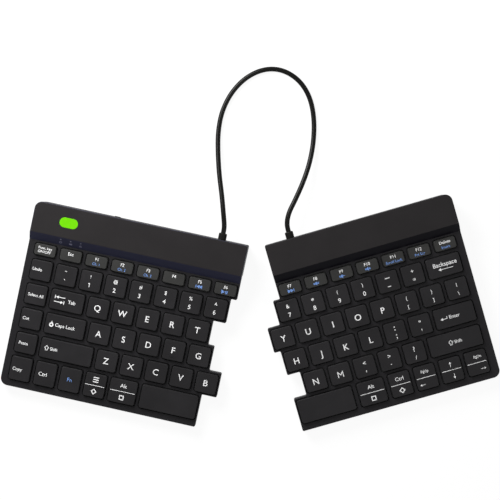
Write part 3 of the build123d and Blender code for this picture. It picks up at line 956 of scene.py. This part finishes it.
LETTER_HEIGHT = 4.7 * MM
DIGIT_MM, SIDE_MM = 3.35, 2.4
WORD_HEIGHT = 2.7 * MM
LEAD_HEIGHT = 2.9 * MM
NAME_HEIGHT, NOTE_HEIGHT, NOTE_SIGN_HEIGHT = 2.3 * MM, 2.0 * MM, 3.2 * MM
DIVIDER_WIDTH = 0.4 * MM
SHIFTED, PLAIN = (0, 3.2 * MM), (0, -3.1 * MM)
NAME, NOTE = (0, 1.75 * MM), (0, -1.9 * MM)
SYMBOL_MM = {
    "~": 2.2, "`": 3.8, "!": 2.6, "@": 2.5, "#": 2.7, "$": 2.7, "%": 2.8, "^": 3.4, "&": 2.9, "*": 3.8,
    "(": 2.4, ")": 2.4, "_": 3.2, "-": 2.2, "+": 3.0, "=": 2.9, "{": 2.5, "}": 2.5, "[": 2.5, "]": 2.5,
    "|": 2.5, "\\": 2.9, ":": 4.6, ";": 4.4, '"': 3.6, "'": 3.8, "<": 3.2, ">": 3.2, ",": 4.0, ".": 4.4,
    "?": 3.8, "/": 2.9,
}


def letter(text: str) -> list[Mark]:
    """One large letter in the middle of a cap.

    Args:
        text: the letter.

    Returns:
        Its marks.
    """
    return [Mark(Sign.PEAKS if text == "M" else Sign.WORD, text, (0, 0), LETTER_HEIGHT)]


def pair(upper: str, lower: str) -> list[Mark]:
    """A shifted character above a plain one.

    Args:
        upper: the shifted character.
        lower: the plain one.

    Returns:
        Their marks.
    """
    signs = {"1": Sign.ONE, "_": Sign.DASH, "-": Sign.DASH}
    return [
        Mark(signs.get(text, Sign.SYMBOL), text, place, SYMBOL_MM.get(text, DIGIT_MM) * MM)
        for text, place in ((upper, SHIFTED), (lower, PLAIN))
    ]


def word(text: str, at: Point2 = (0, 0), height: float = WORD_HEIGHT) -> list[Mark]:
    """One word on a cap.

    Args:
        text: the word.
        at: its centre from the cap's centre.
        height: height of its capitals.

    Returns:
        Its marks.
    """
    return [Mark(Sign.WORD, text, at, height)]


def function(text: str, note: str = "", sign: Sign | None = None) -> list[Mark]:
    """Name of a function key, with a blue note or sign below it.

    Args:
        text: the name.
        note: a blue word, if any.
        sign: a blue sign, if any.

    Returns:
        The key's marks.
    """
    marks = [Mark(Sign.WORD, text, NAME, NAME_HEIGHT)]
    if note:
        marks.append(Mark(Sign.WORD, note, NOTE, NOTE_HEIGHT, BLUE_INK))
    if sign:
        marks.append(Mark(sign, "", NOTE, NOTE_SIGN_HEIGHT, BLUE_INK))
    return marks


def split(upper: list[Mark], lower: list[Mark]) -> list[Mark]:
    """Two groups of marks with a line between them.

    Args:
        upper: marks above the line.
        lower: marks below it.

    Returns:
        All marks.
    """
    return upper + [Mark(Sign.LINE, "", (0, 0), DIVIDER_WIDTH)] + lower


def lead_word(text: str, start: float, height: float = LEAD_HEIGHT) -> Mark:
    """A word that starts at a distance from the cap's centre.

    Args:
        text: the word.
        start: where it starts, to the right.
        height: height of its capitals.

    Returns:
        Its mark.
    """
    return Mark(Sign.WORD, text, (start, 0), height, WHITE_INK, True)


def side_word(text: str, across: float, along: float = 0, height: float = SIDE_MM) -> list[Mark]:
    """A small word left of the cap's centre, given in millimetres.

    Args:
        text: the word.
        across: its centre, to the right.
        along: its centre, to the rear.
        height: height of its capitals.

    Returns:
        Its marks.
    """
    return word(text, (across * MM, along * MM), height * MM)


LEFT_NUDGE = (-0.45 * MM, 0.2 * MM)
RIGHT_NUDGE = (0.1 * MM, -0.45 * MM)
UPPER = (0, 4.4 * MM)
LOWER = (0, -4.6 * MM)

LEFT_LEGENDS: dict[str, list[list[Mark]]] = {
    "left_function_keys": [
        [
            Mark(Sign.WORD, "Func. key", (0, 1.7 * MM), 2.0 * MM),
            Mark(Sign.WORD, "ON/OFF", (-0.3 * MM, -1.1 * MM), 2.0 * MM),
        ],
        [Mark(Sign.WORD, "Esc", (-0.1 * MM, 1.4 * MM), 2.4 * MM)],
        function("F1", "Ch. 1"),
        function("F2", "Ch. 2"),
        function("F3", "Ch. 3"),
        function("F4"),
        function("F5", sign=Sign.PREVIOUS),
        function("F6", sign=Sign.PLAY),
    ],
    "undo_key": [side_word("Undo", -2.8, 0.6)],
    "left_number_keys": [pair(*both) for both in ("~`", "!1", "@2", "#3", "$4", "%5", "^6")],
    "select_all_key": [side_word("Select All", 0, -0.2, 2.3)],
    "tab_key": [[Mark(Sign.TAB, "", (-5.6 * MM, 0.3 * MM), 4.0 * MM), lead_word("Tab", 0.8 * MM, 2.8 * MM)]],
    "qwert_keys": [letter(text) for text in "QWERT"],
    "cut_key": [side_word("Cut", -3.7, 0.3)],
    "caps_lock_key": [
        [Mark(Sign.LOCK, "", (-10.3 * MM, -0.2 * MM), 4.0 * MM), lead_word("Caps Lock", -7.4 * MM, 2.6 * MM)]
    ],
    "asdfg_keys": [letter(text) for text in "ASDFG"],
    "paste_key": [side_word("Paste", -1.8, 0.1)],
    "left_shift_key": [
        [
            Mark(Sign.SHIFT, "", (-14.9 * MM, 0.3 * MM), 3.4 * MM),
            Mark(Sign.WORD, "Shift", (-12.2 * MM, 0.2 * MM), 2.4 * MM, WHITE_INK, True),
        ]
    ],
    "zxcvb_keys": [letter(text) for text in "ZXCVB"],
    "copy_key": [side_word("Copy", -2.3, -0.3)],
    "left_ctrl_key": [side_word("Ctrl", -1.9, 0, 2.9)],
    "fn_key": [[Mark(Sign.WORD, "Fn", (-0.4 * MM, 0.2 * MM), 2.9 * MM, BLUE_INK)]],
    "menu_key": [split([Mark(Sign.MENU, "", UPPER, 4.6 * MM)], [Mark(Sign.DIAMOND, "", LOWER, 4.2 * MM)])],
    "left_alt_key": [split(word("Alt", UPPER, 2.9 * MM), [Mark(Sign.SQUARE, "", LOWER, 4.2 * MM)])],
}
RIGHT_LEGENDS: dict[str, list[list[Mark]]] = {
    "right_function_keys": [
        function("F7", sign=Sign.NEXT),
        function("F8", sign=Sign.MUTE),
        function("F9", sign=Sign.QUIETER),
        function("F10", sign=Sign.LOUDER),
        function("F11", "Scroll Lock"),
        function("F12", "Prt Scr"),
        function("Delete", "Insert"),
    ],
    "right_number_keys": [pair(*both) for both in ("&7", "*8", "(9", ")0", "_-", "+=")],
    "backspace_key": [
        [
            Mark(Sign.WORD, "Backspace", (0.8 * MM, 1.8 * MM), 3.2 * MM),
            Mark(Sign.LONG_LEFT, "", (0.6 * MM, -2.0 * MM), 2.5 * MM),
        ]
    ],
    "yuiop_keys": [letter(text) for text in "YUIOP"] + [pair(*both) for both in ("{[", "}]", "|\\")],
    "hjkl_keys": [letter(text) for text in "HJKL"] + [pair(*both) for both in (":;", "\"'")],
    "enter_key": [
        [Mark(Sign.ENTER, "", (-8.2 * MM, -0.6 * MM), 3.2 * MM), lead_word("Enter", -4.3 * MM, 2.65 * MM)]
    ],
    "nm_keys": [letter(text) for text in "NM"] + [pair(*both) for both in ("<,", ">.", "?/")],
    "right_shift_key": [
        [Mark(Sign.SHIFT, "", (-3.5 * MM, 0), 3.4 * MM), lead_word("Shift", -0.8 * MM, 2.4 * MM)]
    ],
    "right_alt_key": [split(word("Alt", UPPER, 2.9 * MM), [Mark(Sign.SQUARE, "", LOWER, 4.2 * MM)])],
    "right_ctrl_key": [split(word("Ctrl", UPPER, 2.9 * MM), [Mark(Sign.DIAMOND, "", LOWER, 4.2 * MM)])],
    "left_arrow_key": [
        split(side_word("PgUp", 0, 4.6, 2.0), [Mark(Sign.LEFT, "", (-3.8 * MM, -5.1 * MM), 2.6 * MM)])
    ],
    "up_down_key": [
        split([Mark(Sign.UP, "", UPPER, 3.6 * MM)], [Mark(Sign.DOWN, "", (1.0 * MM, -5.0 * MM), 3.6 * MM)])
    ],
    "right_arrow_key": [
        split(side_word("PgDn", 1.4, 4.6, 2.0), [Mark(Sign.RIGHT, "", (3.8 * MM, -5.1 * MM), 2.6 * MM)])
    ],
}


def body_of_node(node: str) -> str:
    """Name of the body that holds a node.

    Args:
        node: the node's name.

    Returns:
        The body's name.
    """
    bodies = frame["record"]["behaviour"]["bodies"]
    return next(body for body, nodes in bodies.items() if node in nodes)


@dataclass
class KeyField:
    """Printed legends of one half's caps."""

    side: str
    first_node: str
    first_joint: str
    legends: dict[str, list[list[Mark]]]
    nudge: Point2
    cap_width: float = 16.2 * MM
    shallow_cap_width: float = 16.6 * MM
    signs: SignMaker = field(default_factory=SignMaker)

    def deck(self) -> Deck:
        """Deck frame of this half.

        Returns:
            The deck frame.
        """
        return Deck.of(self.first_node, self.first_joint, self.cap_width)

    def centres(self, deck: Deck, node: str, count: int) -> tuple[list[Point2], float]:
        """Centres of a node's caps, which stand at even steps, and their width.

        Args:
            deck: the half's deck frame.
            node: the node of the caps.
            count: how many caps it has.

        Returns:
            The centres as u and v, and the width of one cap.
        """
        low, high = deck.box(node)
        v = (low.y + high.y) / 2
        if count == 1:
            return [((low.x + high.x) / 2, v)], high.x - low.x
        width = self.shallow_cap_width if "function" in node else self.cap_width
        step = (high.x - low.x - width) / (count - 1)
        return [(low.x + width / 2 + step * index, v) for index in range(count)], width

    def build(self, inks: dict[Print, bpy.types.Material]) -> None:
        """Print every legend of the half.

        Args:
            inks: the material of each ink.
        """
        deck = self.deck()
        for node, keys in self.legends.items():
            centres, width = self.centres(deck, node, len(keys))
            printed: dict[Print, list[bpy.types.Object]] = {}
            for centre, marks in zip(centres, keys):
                for mark in marks:
                    self.signs.draw(mark, width)
                    nudge = self.nudge if len(keys) > 1 and "function" not in node else (0, 0)
                    at = (centre[0] + mark.at[0] + nudge[0], centre[1] + mark.at[1] + nudge[1], 0)
                    parts = self.signs.take(deck.matrix @ Matrix.Translation(at))
                    printed.setdefault(mark.ink, []).extend(parts)
            for ink, parts in printed.items():
                tone = "white" if ink is WHITE_INK else "blue"
                piece = joined(parts, f"{node}_{tone}_legends")
                dress(piece, inks[ink])
                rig.ride(piece, body_of_node(node))
                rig.slot(piece, f"legend_{tone}")
        log.info("%s legends on %d nodes", self.side, len(self.legends))


@dataclass
class BandIcons:
    """Small printed signs under the three status lights on the left band."""

    across: tuple[float, ...] = (10.1 * MM, 17.75 * MM, 25.4 * MM)
    along: float = 23.75 * MM
    band_foot: Point2 = (21.6 * MM, -2.0 * MM)
    band_head: Point2 = (27.5 * MM, 3.0 * MM)
    width: float = 1.9 * MM
    signs: SignMaker = field(default_factory=SignMaker)

    def plane(self, deck: Deck, across: float) -> Matrix:
        """Plane of one sign on the sloped band.

        Args:
            deck: the left half's deck frame.
            across: the sign's u.

        Returns:
            The plane, with x along the band and z out of it.
        """
        rise = Vector((0, self.band_head[0] - self.band_foot[0], self.band_head[1] - self.band_foot[1]))
        share = (self.along - self.band_foot[0]) / rise.y
        slope = rise.normalized()
        right = Vector((1, 0, 0))
        turned = Matrix((right, slope, right.cross(slope))).transposed().to_4x4()
        place = Vector((across, self.along, self.band_foot[1] + share * rise.z))
        return deck.matrix @ Matrix.Translation(place) @ turned

    def build(self, deck: Deck, ink: bpy.types.Material) -> None:
        """Print the three signs.

        Args:
            deck: the left half's deck frame.
            ink: their ink.
        """
        parts = []
        for forms, across in zip(LIGHT_SIGNS, self.across):
            self.signs.shape(forms, self.width)
            parts += self.signs.take(self.plane(deck, across))
        piece = joined(parts, "band_icons")
        dress(piece, ink)
        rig.ride(piece, "left_half")
        log.info("icons printed on the band")


@dataclass
class LinkCable:
    """The cable from gland to gland, one smooth line at its real length."""

    diameter: float = 3.7 * MM
    steps_per_point: int = 10
    rounding: int = 6
    smooth_below: float = math.radians(50)
    route: tuple[Point3, ...] = (
        (-0.018594, 0.058983, 0.011808),
        (-0.017959, 0.061906, 0.011965),
        (-0.017800, 0.065900, 0.012100),
        (-0.018500, 0.074000, 0.012000),
        (-0.019700, 0.087000, 0.009800),
        (-0.022000, 0.103500, 0.006600),
        (-0.023100, 0.120500, 0.004000),
        (-0.023100, 0.136000, 0.002300),
        (-0.020200, 0.151300, 0.001900),
        (-0.013000, 0.165500, 0.001900),
        (-0.002000, 0.176800, 0.001900),
        (0.011800, 0.183000, 0.001900),
        (0.025500, 0.182200, 0.001900),
        (0.037700, 0.174600, 0.001900),
        (0.045700, 0.162300, 0.001900),
        (0.049100, 0.146500, 0.001900),
        (0.048800, 0.128500, 0.002700),
        (0.045700, 0.111500, 0.005000),
        (0.040600, 0.096500, 0.007900),
        (0.034200, 0.082300, 0.010800),
        (0.030800, 0.075700, 0.011900),
        (0.029100, 0.069900, 0.012200),
        (0.028800, 0.065900, 0.012100),
        (0.029099, 0.062957, 0.011965),
        (0.029920, 0.060076, 0.011808),
    )

    def line(self) -> bpy.types.Object:
        """The route as a NURBS curve.

        Returns:
            The curve object.
        """
        curve = bpy.data.curves.new("link_cable_line", "CURVE")
        curve.dimensions = "3D"
        curve.resolution_u = self.steps_per_point
        spline = curve.splines.new("NURBS")
        spline.points.add(len(self.route) - 1)
        for point, place in zip(spline.points, self.route):
            point.co = (*place, 1)
        spline.order_u = 3
        spline.use_endpoint_u = True
        piece = bpy.data.objects.new("link_cable_jacket", curve)
        bpy.context.collection.objects.link(piece)
        return piece

    def build(self, jacket: bpy.types.Material) -> None:
        """Args:
            jacket: the cable's material.
        """
        piece = self.line()
        bpy.context.view_layer.update()
        read = bpy.data.meshes.new_from_object(piece)
        path = [tuple(vertex.co) for vertex in read.vertices]
        bpy.data.meshes.remove(read)
        length = sum(math.dist(a, b) for a, b in zip(path, path[1:]))
        piece.data.bevel_depth = self.diameter / 2
        piece.data.bevel_resolution = self.rounding
        piece.data.use_fill_caps = True
        select_only([piece])
        bpy.ops.object.convert(target="MESH")
        piece = joined([bpy.context.view_layer.objects.active], "link_cable_jacket")
        bpy.ops.object.shade_smooth_by_angle(angle=self.smooth_below)
        dress(piece, jacket)
        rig.replaces(piece, "link_cable")
        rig.slot(piece, "cable_jacket")
        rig.cord(
            piece,
            exit=self.route[0],
            length=round(length, 4),
            diameter=self.diameter,
            far_end="object",
            stiffness="medium",
            lay="loose",
            path=path,
        )
        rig.blend(
            piece, "left_half", "right_half", start=self.route[0], end=(self.route[-1][0], *self.route[0][1:])
        )
        log.info("link cable %.1f mm", length / MM)


class Housings:
    """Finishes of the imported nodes."""

    def finish_of(self, node: str) -> MouldedPlastic | Metal | Lens:
        """Choose the finish of one node.

        Args:
            node: the node's name.

        Returns:
            Its finish.
        """
        endings = {
            "function_keys": SHALLOW_CAPS,
            "deck_frame": HOUSING,
            "left_bar_cover": LEFT_BAR,
            "right_bar_cover": RIGHT_BAR,
            "base": HOUSING,
            "feet": FEET,
            "screws": SCREW,
            "support_plate": PLATE_AND_GAP_SHADE,
            "membrane": FILM_AND_GAP_SHADE,
            "domes": SILICONE,
            "scissor_links": NYLON,
            "cable_gland": GLAND,
            "board": MASK,
            "battery": POUCH,
            "charging_socket": SHELL,
            "power_switch": KNOB,
            "indicator_lens": LIME,
            "status_lights": SMOKED,
            "link_cable": JACKET,
        }
        return next((finish for ending, finish in endings.items() if node.endswith(ending)), CAPS)

    def build(self, materials: dict[object, bpy.types.Material]) -> None:
        """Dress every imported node.

        Args:
            materials: materials made so far, by finish.
        """
        for node, piece in frame["nodes"].items():
            finish = self.finish_of(node)
            if finish not in materials:
                materials[finish] = finish.make()
            for slot in piece.material_slots:
                slot.material = materials[finish]
        log.info("finishes on %d nodes", len(frame["nodes"]))


def background_rays(tree: bpy.types.NodeTree) -> bpy.types.NodeSocket:
    """Share of rays that see the white background: from the camera, a mirror or a clear piece.

    Args:
        tree: the node tree that asks.

    Returns:
        One for such a ray and nothing for any other.
    """
    rays = tree.nodes.new("ShaderNodeLightPath")
    found = rays.outputs["Is Camera Ray"]
    for kind in ("Is Glossy Ray", "Is Transmission Ray"):
        either = tree.nodes.new("ShaderNodeMath")
        either.operation = "MAXIMUM"
        tree.links.new(found, either.inputs[0])
        tree.links.new(rays.outputs[kind], either.inputs[1])
        found = either.outputs[0]
    return found


@dataclass
class Studio:
    """Floor, lights and camera."""

    aim: Point3 = (0.001415, 0.046501, 0.014890)
    distance: float = 1.0
    lean_back: float = 0.017808
    lean_right: float = 0.038236
    lens: float = 97.276
    sensor: float = 36.0
    nearest: float = 0.05
    floor_size: float = 8.0
    floor_level: float = -0.0002
    floor_grey: float = 0.8
    shadow_grey: float = 0.12
    floor_glow: float = 0.92
    world_strength: float = 0.20
    lamps: tuple[tuple[str, Point3, float, float], ...] = (
        ("key_light", (-0.25, 0.38, 0.30), 0.3, 4.2),
        ("fill_light", (0.9, -0.5, 1.3), 1.2, 4.5),
    )

    def camera(self) -> None:
        """Stand the camera over the keyboard as in the photograph."""
        back = Vector(
            (
                math.sin(self.lean_right) * math.cos(self.lean_back),
                -math.sin(self.lean_back),
                math.cos(self.lean_right) * math.cos(self.lean_back),
            )
        )
        right = Vector((0, 1, 0)).cross(back).normalized()
        up = back.cross(right)
        turned = Matrix((right, up, back)).transposed().to_4x4()
        place = Vector(self.aim) + back * self.distance
        bpy.ops.object.camera_add()
        camera = bpy.context.object
        camera.name = "camera"
        camera.matrix_world = Matrix.Translation(place) @ turned
        camera.data.sensor_fit = "HORIZONTAL"
        camera.data.sensor_width = self.sensor
        camera.data.lens = self.lens
        camera.data.clip_start = self.nearest
        bpy.context.scene.camera = camera

    def lamp(self, name: str, place: Point3, size: float, power: float) -> None:
        """Hang a square soft light that faces the keyboard.

        Args:
            name: its name.
            place: where it hangs.
            size: its side.
            power: its power in watts.
        """
        bpy.ops.object.light_add(type="AREA", location=place)
        lamp = bpy.context.object
        lamp.name = name
        lamp.data.shape = "SQUARE"
        lamp.data.size = size
        lamp.data.energy = power
        lamp.visible_camera = False
        lamp.rotation_euler = (Vector(place) - Vector(self.aim)).to_track_quat("Z", "Y").to_euler()

    def floor(self) -> None:
        """Lay a white floor that keeps a faint shadow of the keyboard."""
        bpy.ops.mesh.primitive_plane_add(size=self.floor_size, location=(0, 0, self.floor_level))
        piece = bpy.context.object
        piece.name = "floor"
        nodes = Nodes("floor_paper")
        tree = nodes.tree
        tree.nodes.remove(nodes.shader)
        diffuse = nodes.add("ShaderNodeBsdfDiffuse", Color=(*[self.floor_grey] * 3, 1))
        pale = nodes.add("ShaderNodeBsdfDiffuse", Color=(*[self.shadow_grey] * 3, 1))
        glow = nodes.add("ShaderNodeEmission", Color=(1, 1, 1, 1), Strength=self.floor_glow)
        seen = nodes.add("ShaderNodeAddShader")
        nodes.link(pale.outputs[0], seen.inputs[0])
        nodes.link(glow.outputs[0], seen.inputs[1])
        either = nodes.add("ShaderNodeMixShader")
        nodes.link(background_rays(tree), either.inputs["Fac"])
        nodes.link(diffuse.outputs[0], either.inputs[1])
        nodes.link(seen.outputs[0], either.inputs[2])
        nodes.link(either.outputs[0], tree.nodes["Material Output"].inputs["Surface"])
        dress(piece, nodes.material)
        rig.stage(piece)

    def world(self) -> None:
        """Surround the keyboard with soft white light."""
        world = bpy.data.worlds.new("studio")
        bpy.context.scene.world = world
        world.use_nodes = True
        tree = world.node_tree
        soft = tree.nodes["Background"]
        soft.inputs["Color"].default_value = (1, 1, 1, 1)
        soft.inputs["Strength"].default_value = self.world_strength
        white = tree.nodes.new("ShaderNodeBackground")
        white.inputs["Color"].default_value = (1, 1, 1, 1)
        either = tree.nodes.new("ShaderNodeMixShader")
        tree.links.new(background_rays(tree), either.inputs["Fac"])
        tree.links.new(soft.outputs[0], either.inputs[1])
        tree.links.new(white.outputs[0], either.inputs[2])
        tree.links.new(either.outputs[0], tree.nodes["World Output"].inputs["Surface"])

    def build(self) -> None:
        """Set up the floor, the world and the lamps."""
        self.floor()
        self.world()
        for name, place, size, power in self.lamps:
            self.lamp(name, place, size, power)
        bpy.context.scene.view_settings.view_transform = "Standard"
        log.info("studio ready")


def main() -> None:
    """Build the looks of the keyboard in order."""
    logging.basicConfig(level=logging.INFO, format="%(name)s: %(message)s")
    studio = Studio()
    studio.camera()
    materials: dict[object, bpy.types.Material] = {JACKET: JACKET.make()}
    LinkCable().build(materials[JACKET])
    studio.build()
    Housings().build(materials)
    inks = {ink: ink.make() for ink in (WHITE_INK, BLUE_INK, BAND_INK)}
    left = KeyField("left", "undo_key", "undo_key_press", LEFT_LEGENDS, LEFT_NUDGE)
    left.build(inks)
    BandIcons().build(left.deck(), inks[BAND_INK])
    right_start = "right_number_keys"
    KeyField("right", right_start, f"{right_start}_press", RIGHT_LEGENDS, RIGHT_NUDGE).build(inks)
    with open(SIZE_FILE, "w") as report:
        json.dump({"solids": [list(p) for p in SOLID_BOX], "visual": [list(p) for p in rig.bounds()]}, report)


if __name__ == "__main__":
    main()
